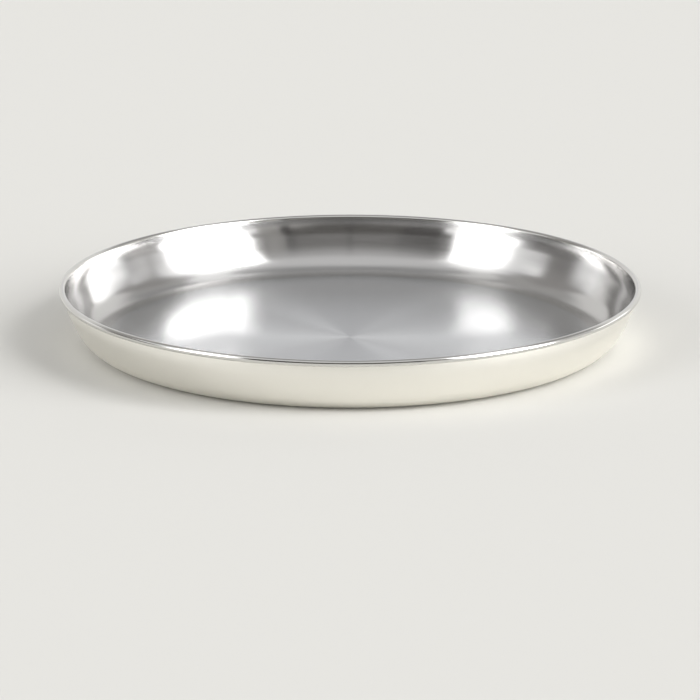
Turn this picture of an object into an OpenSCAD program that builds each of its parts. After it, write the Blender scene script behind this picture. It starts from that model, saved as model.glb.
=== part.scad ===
// Thali plate: a round dish pressed from one stainless sheet, its edge rolled over a stiffening wire.
// Millimetres, +Z up, origin at the centre of the flat underside.

/* [Plate] */
// Diameter over the rolled rim
rim_d = 300; // [220:1:360]
// Height from the table to the top of the rim
dish_h = 29.6; // [28:0.1:45]
// Lean of the wall outwards from upright, in degrees
wall_lean = 24.6; // [16:0.2:36]
// Outside radius of the round corner between floor and wall
corner_r = 16.5; // [8:0.5:18]
// Share of the turn from floor to wall that a gentler bend takes, between the corner and the wall
run_in_share = 0.09; // [0.03:0.01:0.12]
// Share of the height, up from the table, at which the wall begins to be straight
wall_from_share = 0.48; // [0.46:0.01:0.55]
// Share of the height, down from the top, over which the wall bends upright to meet the rim
joggle_share = 0.36; // [0.2:0.01:0.4]
// Thickness of the pressed sheet
sheet_t = 0.7; // [0.5:0.05:1.1]

/* [Rolled rim] */
// Diameter of the stiffening wire inside the rim
wire_d = 1.8; // [1.2:0.1:2.6]
// Clearance between the wire and the sheet rolled round it
wire_clear = 0.05; // [0.02:0.01:0.15]
// How far the rim stands out past the outer face of the wall
rim_proud = 0.4; // [0:0.1:1.4]
// Gap between the rolled edge and the wall that it closes against
seam_gap = 0.15; // [0.05:0.05:0.3]
// Gap between the two butted ends of the wire
wire_butt = 0.6; // [0.2:0.1:2]

/* [Hidden] */

// Facets round the plate and round the wire, and the most degrees that a bend turns in one step
plate_facets = 240;
wire_facets = 48;
bend_step = 5;

// The roll of sheet round the wire: its inside, its middle line and its outside
roll_inner_r = wire_d / 2 + wire_clear;
roll_mid_r = roll_inner_r + sheet_t / 2;
roll_r = roll_inner_r + sheet_t;

// In the section, x is the distance from the plate's axis and y the height above the table.
// The wall climbs along one of these directions and faces outwards along the other
up_wall = [sin(wall_lean), cos(wall_lean)];
off_wall = [cos(wall_lean), -sin(wall_lean)];

// Centre of the wire, and how far outwards from it the wall's middle line would pass
wire_centre = [rim_d / 2 - roll_r, dish_h - roll_r];
wall_from_wire = roll_r - rim_proud - sheet_t / 2;

// The joggle is the long bend that turns the wall upright until it runs into the roll.
// It begins joggle_down from the wire along the wall, which sets the radius of its middle line
joggle_from_y = (1 - joggle_share) * dish_h;
joggle_down = (wire_centre.y - wall_from_wire * sin(wall_lean) - joggle_from_y) / cos(wall_lean);
joggle_mid_r = (pow(joggle_down, 2) / (roll_mid_r + wall_from_wire) - roll_mid_r + wall_from_wire) / 2;
joggle_r = joggle_mid_r - sheet_t / 2;
joggle_to_wire = joggle_mid_r + roll_mid_r;
joggle_angle = acos((joggle_mid_r - wall_from_wire) / joggle_to_wire);
joggle_centre = wire_centre + (wall_from_wire - joggle_mid_r) * off_wall - joggle_down * up_wall;
joggle_end = joggle_angle - wall_lean;

// Lean of the sheet where the round corner ends and the gentler bend begins, and that bend's radius
corner_lean = wall_lean + run_in_share * (90 - wall_lean);
run_in_height = wall_from_share * dish_h - corner_r * (1 - sin(corner_lean));
run_in_r = run_in_height / (sin(corner_lean) - sin(wall_lean));

// Centres of the round corner, which touches the table, and of the gentler bend, which touches the wall
run_in_past = run_in_r - corner_r;
corner_in = run_in_r - run_in_past * cos(corner_lean - wall_lean) - sheet_t / 2 - wall_from_wire;
corner_down = (wire_centre.y - corner_r + corner_in * sin(wall_lean)) / cos(wall_lean);
corner_centre = wire_centre - corner_in * off_wall - corner_down * up_wall;
run_in_centre = corner_centre - run_in_past * [cos(corner_lean), -sin(corner_lean)];
floor_r = corner_centre.x;

// Direction from the wire to the cut edge, which stops seam_gap short of the wall
edge_from_joggle = joggle_r + sheet_t + seam_gap;
edge_angle = acos(
  (pow(roll_r, 2) + pow(joggle_to_wire, 2) - pow(edge_from_joggle, 2))
  / (2 * roll_r * joggle_to_wire)
);
edge_dir = joggle_end - 180 + edge_angle;

// The point at a distance and a direction from a centre
function polar(centre, r, dir) = centre + r * [cos(dir), sin(dir)];

// The points of an arc after its first one, in equal steps of no more than bend_step
function arc(centre, r, from, to) =
  let (steps = ceil(abs(to - from) / bend_step))
  [for (i = [1:steps]) polar(centre, r, from + (to - from) * i / steps)];

// The sheet's section, out along its underside to the cut edge and back along its upper side
sheet_section = concat(
  [[0, 0], [floor_r, 0]],
  arc(corner_centre, corner_r, -90, -corner_lean),
  arc(run_in_centre, run_in_r, -corner_lean, -wall_lean),
  [polar(joggle_centre, joggle_r + sheet_t, -wall_lean)],
  arc(joggle_centre, joggle_r + sheet_t, -wall_lean, joggle_end),
  arc(wire_centre, roll_inner_r, joggle_end + 180, edge_dir),
  [polar(wire_centre, roll_r, edge_dir)],
  arc(wire_centre, roll_r, edge_dir, 0),
  arc(wire_centre, roll_r, 0, 90),
  arc(wire_centre, roll_r, 90, joggle_end + 180),
  arc(joggle_centre, joggle_r, joggle_end, -wall_lean),
  [polar(run_in_centre, run_in_r - sheet_t, -wall_lean)],
  arc(run_in_centre, run_in_r - sheet_t, -wall_lean, -corner_lean),
  arc(corner_centre, corner_r - sheet_t, -corner_lean, -90),
  [[0, sheet_t]]
);

// The pressed sheet: floor, round corner, leaning wall and rolled rim in one piece
module dish() {
  color("gainsboro")
    rotate_extrude($fn = plate_facets)
      polygon(sheet_section);
}

// The stiffening wire, bent to a ring whose butted ends lie at the back
module rim_wire() {
  butt_angle = 2 * asin(wire_butt / 2 / wire_centre.x);
  color("darkgray")
    rotate(90 + butt_angle / 2)
      rotate_extrude(angle = 360 - butt_angle, $fn = plate_facets)
        translate(wire_centre)
          circle(d = wire_d, $fn = wire_facets);
}

dish();
rim_wire();
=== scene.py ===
"""A stainless steel thali plate on a pale table: its pressed sheet, and the wire in its rolled rim."""

import bpy
import numpy as np
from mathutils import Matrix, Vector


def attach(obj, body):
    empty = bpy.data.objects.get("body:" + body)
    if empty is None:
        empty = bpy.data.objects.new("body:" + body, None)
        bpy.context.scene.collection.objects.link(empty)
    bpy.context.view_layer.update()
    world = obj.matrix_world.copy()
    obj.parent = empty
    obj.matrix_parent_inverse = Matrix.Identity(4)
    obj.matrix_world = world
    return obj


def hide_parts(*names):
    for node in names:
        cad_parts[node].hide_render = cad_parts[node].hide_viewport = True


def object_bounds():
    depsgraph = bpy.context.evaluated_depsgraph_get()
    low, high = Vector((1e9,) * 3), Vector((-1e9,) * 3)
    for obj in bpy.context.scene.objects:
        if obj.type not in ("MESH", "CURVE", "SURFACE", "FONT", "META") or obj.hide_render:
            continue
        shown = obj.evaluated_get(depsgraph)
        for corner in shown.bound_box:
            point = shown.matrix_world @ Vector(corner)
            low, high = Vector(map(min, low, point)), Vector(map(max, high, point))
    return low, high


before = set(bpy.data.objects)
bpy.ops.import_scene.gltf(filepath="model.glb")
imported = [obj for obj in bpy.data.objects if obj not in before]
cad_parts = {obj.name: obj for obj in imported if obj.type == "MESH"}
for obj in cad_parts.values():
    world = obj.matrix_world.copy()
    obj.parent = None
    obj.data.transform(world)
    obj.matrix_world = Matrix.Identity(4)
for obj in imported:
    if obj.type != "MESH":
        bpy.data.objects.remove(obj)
cad_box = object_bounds()

# The camera stands in front of the plate and looks down on it at a low angle, through a long lens.
# It aims a little below the plate, which therefore sits above the middle of the picture. There the
# rim's radius measures rim_px of the picture's image_px pixels.
rim_r = max(abs(edge) for corner in cad_box for edge in corner[:2])
dish_h = cad_box[1].z
camera_distance = 15 * rim_r
camera_elevation = np.radians(15.0)
aim_below = 0.0211
image_px = 700
rim_px = 290.3

camera_data = bpy.data.cameras.new("camera")
camera_data.lens = rim_px / image_px * camera_data.sensor_width * camera_distance / rim_r
camera = bpy.data.objects.new("camera", camera_data)
bpy.context.collection.objects.link(camera)
bpy.context.scene.camera = camera
camera_back = camera_distance * np.cos(camera_elevation)
camera_up = camera_distance * np.sin(camera_elevation)
camera.location = (0, -camera_back, dish_h / 2 + camera_up)
camera.rotation_euler = (np.arctan2(camera_back, camera_up + aim_below), 0, 0)
bpy.context.scene.view_settings.view_transform = "Standard"


def linear(colour):
    """An sRGB hex colour as linear red, green, blue and an alpha of 1."""
    srgb = np.array([int(colour[i : i + 2], 16) / 255 for i in (0, 2, 4)])
    low, high = srgb / 12.92, ((srgb + 0.055) / 1.055) ** 2.4
    return [*np.where(srgb <= 0.04045, low, high).tolist(), 1.0]


def add(tree, kind, inputs, **settings):
    """Adds one node. Each input, by name or number, takes a value or another node's output."""
    made = tree.nodes.new("ShaderNode" + kind)
    for name, value in settings.items():
        setattr(made, name, value)
    for name, value in inputs.items():
        if isinstance(value, bpy.types.NodeSocket):
            tree.links.new(value, made.inputs[name])
        else:
            made.inputs[name].default_value = value
    return made


# The table is a wide matt sheet in a warm off-white, and the plate's outer wall mirrors it.
# It reaches far enough to fill the picture from any side.
table_size = 12.0
table_colour = "D4D3CF"

table = bpy.data.meshes.new("table")
corners = [(x * table_size / 2, y * table_size / 2, 0.0) for x, y in ((-1, -1), (1, -1), (1, 1), (-1, 1))]
table.from_pydata(corners, [], [(0, 1, 2, 3)])
table_object = bpy.data.objects.new("table", table)
bpy.context.collection.objects.link(table_object)
table_paper = bpy.data.materials.new("matt off-white table")
table_paper.use_nodes = True
table_shader = table_paper.node_tree.nodes["Principled BSDF"]
table_shader.inputs["Base Color"].default_value = linear(table_colour)
table_shader.inputs["Roughness"].default_value = 0.9
table_shader.inputs["Specular IOR Level"].default_value = 0.2
table.materials.append(table_paper)

# The light is a studio with a pale ceiling and pale walls, large white panels to the left and right of
# the camera, and a dark place between them, where the camera stands. Each area is given by its colour
# and strength, by the directions that it fills, in degrees, and by how far its edges are blurred. The
# directions are round the plate, from the camera's side to the right, and up from the table.
# The places and strengths were chosen by comparing the patches of light and dark that the steel
# mirrors with those in the photo.
studio = bpy.data.worlds.new("studio")
bpy.context.scene.world = studio
studio.use_nodes = True
sky = studio.node_tree
sky.nodes.clear()
direction = add(sky, "TexCoord", {})
across = add(sky, "SeparateXYZ", {0: direction.outputs["Generated"]})
toward_camera = add(sky, "Math", {0: across.outputs["Y"], 1: -1.0}, operation="MULTIPLY")
round_plate = add(
    sky, "Math", {0: across.outputs["X"], 1: toward_camera.outputs[0]}, operation="ARCTAN2"
)
round_plate = add(sky, "Math", {0: round_plate.outputs[0]}, operation="DEGREES")
above_table = add(sky, "Math", {0: across.outputs["Z"]}, operation="ARCSINE")
above_table = add(sky, "Math", {0: above_table.outputs[0]}, operation="DEGREES")


def lit_area(light, colour, strength, sides, heights, side_blur, height_blur):
    """The light so far with one more area over it. An area covers 1 inside and 0 outside, with a smooth
    step across each of its four edges, and the covers of the four steps are multiplied."""
    cover = 1.0
    for angle, (first, last), blur in (
        (round_plate, sides, side_blur),
        (above_table, heights, height_blur),
    ):
        for edge, inwards in ((first, 0.5), (last, -0.5)):
            step = add(
                sky,
                "MapRange",
                {
                    "Value": angle.outputs[0],
                    "From Min": edge - inwards * blur,
                    "From Max": edge + inwards * blur,
                },
                interpolation_type="SMOOTHSTEP",
            )
            cover = add(sky, "Math", {0: step.outputs[0], 1: cover}, operation="MULTIPLY").outputs[0]
    bright = [strength * channel for channel in linear(colour)[:3]] + [1.0]
    return add(
        sky, "Mix", {"Factor": cover, "A": light, "B": bright}, data_type="RGBA"
    ).outputs["Result"]


ceiling_colour = "E0E0E0"
# From the top of the list: the room behind, its upper bands and the shades below them, the panels on
# the left and then on the right, small patches at their outer ends, the dark front with its uprights,
# and the table.
light_areas = (
    ("A0A0A0", 1.0, (95, 400), (-95, 92), 90, 30),
    ("A0A0A0", 1.0, (-400, -95), (-95, 92), 90, 30),
    ("F0EFED", 1.0, (128, 176), (-5, 34), 8, 12),
    ("E8E7E5", 1.0, (-176, -128), (-5, 34), 8, 12),
    ("F4F4F6", 1.0, (176, 400), (-5, 31), 16, 12),
    ("F4F4F6", 1.0, (-400, -176), (-5, 31), 16, 12),
    ("FFFFFF", 1.1, (84, 158), (52, 64), 10, 5),
    ("E8E8E6", 1.0, (-155, -85), (56, 64), 10, 5),
    ("B2B1AF", 1.0, (106, 142), (36, 53), 10, 6),
    ("B2B1AF", 1.0, (-157, -98), (36, 55), 10, 6),
    ("A2A09E", 1.0, (101, 127), (20, 46), 6, 6),
    ("A09E9C", 1.0, (-127, -97), (18, 46), 6, 6),
    ("FFFFFF", 1.5, (-97, -73), (23, 32), 6, 6),
    ("FFFFFF", 1.1, (-86, -45), (20, 52), 16, 16),
    ("FFFFFF", 1.2, (-60, -43), (-2, 32), 8, 12),
    ("FFFFFF", 3.2, (-74, -47), (-2, 43), 10, 12),
    ("FFFFFF", 6.5, (-71, -50), (12, 37), 10, 12),
    ("FFFFFF", 1.3, (-96, -64), (46, 60), 12, 10),
    ("FFFFFF", 1.1, (48, 100), (40, 60), 20, 14),
    ("FFFFFF", 1.2, (84, 97), (22, 56), 6, 6),
    ("FFFFFF", 1.3, (44, 88), (-2, 46), 4, 14),
    ("FFFFFF", 11.5, (47, 83), (-2, 48), 8, 12),
    ("FFFFFF", 4.5, (49, 71), (6, 38), 10, 10),
    ("838180", 1.0, (-108, -80), (-10, 20), 10, 7),
    ("CAC8C6", 1.0, (87, 104), (2, 19), 5, 5),
    ("FFFFFF", 1.0, (98, 113), (18, 25), 6, 5),
    ("FFFFFF", 1.1, (-129, -111), (-2, 18), 9, 9),
    ("FFFFFF", 1.8, (110, 138), (-2, 17), 9, 8),
    ("605E5B", 1.0, (-45, 43), (-30, 41), 2, 8),
    ("DEDCD9", 1.0, (20, 43), (-30, 8), 20, 12),
    ("4C4A48", 1.0, (-43, -22), (-30, 38), 2, 8),
    ("A09E9B", 1.0, (29.5, 40.5), (6, 38), 1.5, 8),
    ("42403F", 1.0, (25, 29), (-2, 38), 1, 8),
    ("504E4C", 1.0, (-1, 1), (-2, 42), 1, 8),
    ("666461", 1.0, (38, 47), (27, 41), 2, 8),
    ("605E5C", 1.0, (-49, -40), (25, 41), 2, 8),
    ("FFFFFF", 1.5, (39, 46), (-2, 14), 3, 12),
    ("FFFFFF", 1.5, (-46, -40), (-2, 14), 3, 12),
    (table_colour, 1.0, (-400, 400), (-95, -1), 1, 2),
)
light = linear(ceiling_colour)
for colour, strength, sides, heights, side_blur, height_blur in light_areas:
    light = lit_area(light, colour, strength, sides, heights, side_blur, height_blur)
background = add(sky, "Background", {"Color": light, "Strength": 1.0})
add(sky, "OutputWorld", {"Surface": background.outputs[0]})

# The dish is one stainless sheet, pressed to a flat floor, a round corner and a leaning wall. Its edge
# is rolled over a wire, and a soft bend in the wall under the roll, the joggle, lets the edge close
# against the wall. In its section x is the distance from the axis and y the height above the table.
sheet_t = 0.0007
wall_lean = 24.6
corner_r = 0.0165
run_in_share = 0.09
wall_from_share = 0.48
joggle_share = 0.36
wire_r = 0.0009
wire_clear = 0.00005
rim_proud = 0.0004
seam_gap = 0.00015
straight_step = 0.0012
bend_step = 3.0
rim_step = 4.0
floor_step = 0.004
sides_round = 360


def polar(centre, r, angle):
    """The point at a distance and a direction, in degrees, from a centre."""
    return centre + r * np.array([np.cos(np.radians(angle)), np.sin(np.radians(angle))])


def arc(centre, r, start, end, step):
    """Points on a circle from start to end, in equal angles of at most step, without the first."""
    angles = np.radians(np.linspace(start, end, int(np.ceil(abs(end - start) / step)) + 1))[1:]
    return centre + r * np.stack([np.cos(angles), np.sin(angles)], axis=1)


def straight(start, end, step):
    """Points on the line from start to end, in equal parts of at most step, without the first."""
    parts = int(np.ceil(np.linalg.norm(end - start) / step))
    return start + (end - start) * (np.arange(1, parts + 1) / parts)[:, None]


roll_inner_r = wire_r + wire_clear
roll_r = roll_inner_r + sheet_t
lean = np.radians(wall_lean)
up_wall = np.array([np.sin(lean), np.cos(lean)])
off_wall = np.array([np.cos(lean), -np.sin(lean)])
wire_centre = np.array([rim_r - roll_r, dish_h - roll_r])
wall_from_wire = roll_r - rim_proud - sheet_t / 2
roll_mid_r = roll_inner_r + sheet_t / 2
joggle_from_z = (1 - joggle_share) * dish_h
joggle_down = (wire_centre[1] - wall_from_wire * np.sin(lean) - joggle_from_z) / np.cos(lean)
joggle_mid_r = (joggle_down**2 / (roll_mid_r + wall_from_wire) - roll_mid_r + wall_from_wire) / 2
joggle_r = joggle_mid_r - sheet_t / 2
joggle_to_wire = joggle_mid_r + roll_mid_r
joggle_angle = np.degrees(np.arccos((joggle_mid_r - wall_from_wire) / joggle_to_wire))
joggle_centre = (
    wire_centre + (wall_from_wire - joggle_mid_r) * off_wall - joggle_down * up_wall
)
joggle_end = joggle_angle - wall_lean
corner_lean = wall_lean + run_in_share * (90 - wall_lean)
corner_sin = np.sin(np.radians(corner_lean))
run_in_r = (wall_from_share * dish_h - corner_r * (1 - corner_sin)) / (corner_sin - np.sin(lean))
run_in_past = run_in_r - corner_r
run_in_turn = np.radians(corner_lean - wall_lean)
corner_in = run_in_r - run_in_past * np.cos(run_in_turn) - sheet_t / 2 - wall_from_wire
corner_down = (wire_centre[1] - corner_r + corner_in * np.sin(lean)) / np.cos(lean)
corner_centre = wire_centre - corner_in * off_wall - corner_down * up_wall
run_in_centre = polar(corner_centre, run_in_past, 180 - corner_lean)
edge_from_joggle = joggle_r + sheet_t + seam_gap
edge_angle = np.degrees(
    np.arccos(
        (roll_r**2 + joggle_to_wire**2 - edge_from_joggle**2) / (2 * roll_r * joggle_to_wire)
    )
)
edge_dir = joggle_end - 180 + edge_angle

under_wall = polar(run_in_centre, run_in_r, -wall_lean)
under_joggle = polar(joggle_centre, joggle_r + sheet_t, -wall_lean)
in_joggle = polar(joggle_centre, joggle_r, -wall_lean)
in_wall = polar(run_in_centre, run_in_r - sheet_t, -wall_lean)
floor_edge = np.array([corner_centre[0], 0.0])
floor_top = np.array([0.0, sheet_t])
outside = np.concatenate(
    [
        np.zeros((1, 2)),
        straight(np.zeros(2), floor_edge, floor_step),
        arc(corner_centre, corner_r, -90, -corner_lean, bend_step),
        arc(run_in_centre, run_in_r, -corner_lean, -wall_lean, bend_step / 3),
        straight(under_wall, under_joggle, straight_step),
        arc(joggle_centre, joggle_r + sheet_t, -wall_lean, joggle_end, bend_step / 2),
        arc(wire_centre, roll_inner_r, joggle_end + 180, edge_dir, 2 * rim_step),
        polar(wire_centre, roll_r, edge_dir)[None],
        arc(wire_centre, roll_r, edge_dir, 0, rim_step),
    ]
)
inside = np.concatenate(
    [
        arc(wire_centre, roll_r, 0, 90, rim_step),
        arc(wire_centre, roll_r, 90, joggle_end + 180, rim_step),
        arc(joggle_centre, joggle_r, joggle_end, -wall_lean, bend_step / 2),
        straight(in_joggle, in_wall, straight_step),
        arc(run_in_centre, run_in_r - sheet_t, -wall_lean, -corner_lean, bend_step / 3),
        arc(corner_centre, corner_r - sheet_t, -corner_lean, -90, bend_step),
        straight(floor_edge + floor_top, floor_top, floor_step),
    ]
)
section = np.concatenate([outside, inside])

# The rings at which the finish changes: at the cut edge, where the roll runs into the wall, and at the
# edge of the flat floor
rim_from = len(outside) - int(np.ceil(-edge_dir / rim_step)) - 1
rim_to = len(outside) + int(np.ceil(90 / rim_step)) + int(np.ceil((joggle_end + 90) / rim_step))
floor_from = len(section) - 1 - int(np.ceil(floor_edge[0] / floor_step))


def turned(name, section, sides):
    """A solid of revolution. Each point (r, z) of the section goes round the axis at equal angles a, to
    (r cos a, r sin a, z). The section starts and ends on the axis, where its ring is one point."""
    angles = np.arange(sides) * 2 * np.pi / sides
    r, z = section[1:-1, 0, None], section[1:-1, 1, None]
    rings = np.stack([r * np.cos(angles), r * np.sin(angles), z + 0 * angles], axis=2)
    ends = np.array([[0, 0, section[0, 1]], [0, 0, section[-1, 1]]])
    points = np.concatenate([rings.reshape(-1, 3), ends])
    index = np.arange(len(r) * sides).reshape(len(r), sides)
    after = np.roll(index, -1, axis=1)
    quads = np.stack([index[:-1], after[:-1], after[1:], index[1:]], axis=2).reshape(-1, 4)
    bottom = np.full(sides, len(points) - 2)
    top = np.full(sides, len(points) - 1)
    first = np.stack([bottom, after[0], index[0]], axis=1)
    last = np.stack([top, index[-1], after[-1]], axis=1)
    mesh = bpy.data.meshes.new(name)
    mesh.from_pydata(points, [], [*first.tolist(), *quads.tolist(), *last.tolist()])
    mesh.polygons.foreach_set("use_smooth", np.ones(len(mesh.polygons), bool))
    return mesh


dish_mesh = turned("dish_sheet", section, sides_round)
dish = bpy.data.objects.new("dish_sheet", dish_mesh)
bpy.context.collection.objects.link(dish)


def steel(name, colour, roughness, anisotropy, mark_spacing, mark_depth, roughness_spread):
    """Stainless steel with marks round the plate's axis. Their lines follow the distance from the axis
    plus the height, which grows all along the section, and drift slowly on their way round. The blur
    of what the steel mirrors runs across the marks, straight out from the axis."""
    drift_round = 5.0
    grain_detail, grain_roughness = 3.0, 0.6
    grain_low, grain_high = 0.3, 0.7
    material = bpy.data.materials.new(name)
    material.use_nodes = True
    tree = material.node_tree
    shader = tree.nodes["Principled BSDF"]
    shader.inputs["Metallic"].default_value = 1.0
    shader.inputs["Anisotropic"].default_value = anisotropy
    place = add(tree, "TexCoord", {})
    axes = add(tree, "SeparateXYZ", {0: place.outputs["Object"]})
    flat = add(tree, "CombineXYZ", {"X": axes.outputs["X"], "Y": axes.outputs["Y"]})
    outwards = add(tree, "VectorMath", {0: flat.outputs[0]}, operation="NORMALIZE")
    tree.links.new(outwards.outputs[0], shader.inputs["Tangent"])
    from_axis = add(tree, "VectorMath", {0: flat.outputs[0]}, operation="LENGTH")
    along = add(
        tree, "Math", {0: from_axis.outputs["Value"], 1: axes.outputs["Z"]}, operation="ADD"
    )
    lines = add(tree, "Math", {0: along.outputs[0], 1: 1 / mark_spacing}, operation="MULTIPLY")
    drift = add(
        tree, "VectorMath", {0: outwards.outputs[0], "Scale": drift_round}, operation="SCALE"
    )
    drift_axes = add(tree, "SeparateXYZ", {0: drift.outputs[0]})
    marks = add(
        tree,
        "CombineXYZ",
        {"X": lines.outputs[0], "Y": drift_axes.outputs["X"], "Z": drift_axes.outputs["Y"]},
    )
    grain = add(
        tree,
        "TexNoise",
        {
            "Vector": marks.outputs[0],
            "Scale": 1.0,
            "Detail": grain_detail,
            "Roughness": grain_roughness,
        },
    )
    rough = add(
        tree,
        "MapRange",
        {
            "Value": grain.outputs[0],
            "From Min": grain_low,
            "From Max": grain_high,
            "To Min": roughness - roughness_spread,
            "To Max": roughness + roughness_spread,
        },
    )
    tree.links.new(rough.outputs[0], shader.inputs["Roughness"])
    relief = add(
        tree,
        "Bump",
        {"Height": grain.outputs[0], "Strength": 1.0, "Distance": mark_depth},
    )
    tree.links.new(relief.outputs[0], shader.inputs["Normal"])
    shader.inputs["Base Color"].default_value = linear(colour)
    return material


# All four are the same stainless steel; how it was finished differs, and the outside is painted paler to
# stand in for light. Real buffing lines lie under 0.1 mm apart, too fine to show, so they are drawn 0.6
# mm apart and faint.
buffing_spacing = 0.0006
buffing_depth = 0.0000006

# Satin, as the press leaves it: it mirrors the table only as a soft glow. Matched to the photo, it is
# paler than bare steel usually is. The paleness is painted light: it brightens the wall where the table
# beside it, which it mirrors, lies in shade
outside_steel_painted_pale = steel(
    "satin stainless steel painted pale",
    # painted light: a paler colour than bare steel's, in place of light that the shaded table next to the
    # wall doesn't give
    colour="F5F3EC",
    roughness=0.4,
    anisotropy=0.2,
    mark_spacing=buffing_spacing,
    mark_depth=buffing_depth,
    roughness_spread=0.02,
)
# Polished by the rolling tool: thin, clear highlights run along the bead
rim_steel = steel(
    "polished stainless steel",
    colour="DAD9D6",
    roughness=0.12,
    anisotropy=0.5,
    mark_spacing=buffing_spacing,
    mark_depth=0.0000004,
    roughness_spread=0.02,
)
# Buffed round the wall: upright edges in the room stay crisp, level ones blur
inside_steel = steel(
    "buffed stainless steel",
    colour="D1D0CF",
    roughness=0.17,
    anisotropy=0.94,
    mark_spacing=buffing_spacing,
    mark_depth=buffing_depth,
    roughness_spread=0.02,
)
# Turned on the floor: light spreads out from the middle in soft rays
floor_steel = steel(
    "turned stainless steel",
    colour="D3D4D5",
    roughness=0.22,
    anisotropy=0.93,
    mark_spacing=buffing_spacing,
    mark_depth=buffing_depth,
    roughness_spread=0.02,
)
for finish in (outside_steel_painted_pale, rim_steel, inside_steel, floor_steel):
    dish_mesh.materials.append(finish)
ring_ends = np.array([rim_from, rim_to, floor_from, len(section) - 1])
finish_of_ring = np.repeat(np.arange(len(ring_ends)), np.diff(ring_ends, prepend=0))
finish_of_face = np.repeat(finish_of_ring, sides_round).astype(np.int32)
dish_mesh.polygons.foreach_set("material_index", finish_of_face)
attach(dish, "root")
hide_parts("dish")

# The rim wire is drawn steel wire, bent to a ring inside the roll, with its two ends butted at the
# back. It is seen only if the roll is cut, so the solid from the model keeps its place and shape.
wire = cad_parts["rim_wire"]
# Drawn through a die: a duller grey, with drawing lines
wire_steel = steel(
    "drawn steel wire",
    colour="C9C7C2",
    roughness=0.3,
    anisotropy=0.2,
    mark_spacing=0.0002,
    mark_depth=0.000001,
    roughness_spread=0.03,
)
wire.data.materials.clear()
wire.data.materials.append(wire_steel)
